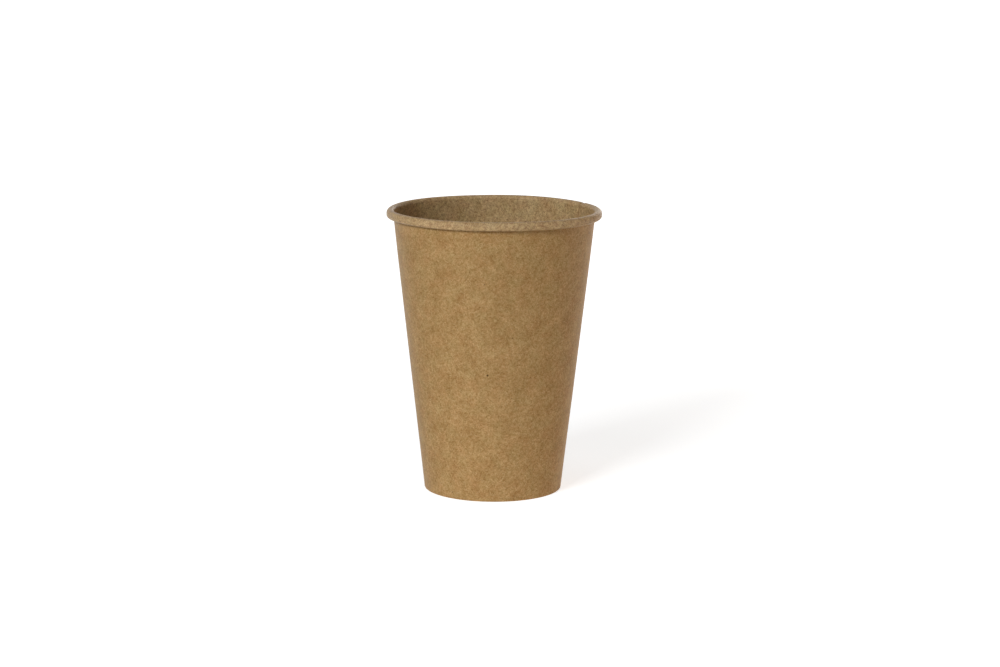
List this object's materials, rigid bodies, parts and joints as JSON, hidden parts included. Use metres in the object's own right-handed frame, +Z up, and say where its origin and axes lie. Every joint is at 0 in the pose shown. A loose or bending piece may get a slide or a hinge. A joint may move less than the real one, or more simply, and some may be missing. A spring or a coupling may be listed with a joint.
{
  "type": "paper coffee cup",
  "caption": "Tapered single-wall brown paper hot drink cup with a rolled rim, a lap seam and a recessed base, open at the top.",
  "frame": {"origin": "centre of the cup on the plane that it stands on", "axes": "+Z up along the cup's axis; -Y is the side that faces the camera in the picture; the lap seam lies 31 degrees from +X towards +Y"},
  "size_m": [0.08, 0.08, 0.1056],
  "materials": {
    "wall_paper": "unbleached brown cup paper, matt and fibrous outside, smooth and lined inside",
    "base_paper": "unbleached brown base paper, smooth and lined on the upper side"
  },
  "bodies": {
    "root": {"sidewall": "wall_paper", "base_disc": "base_paper"}
  },
  "joints": []
}
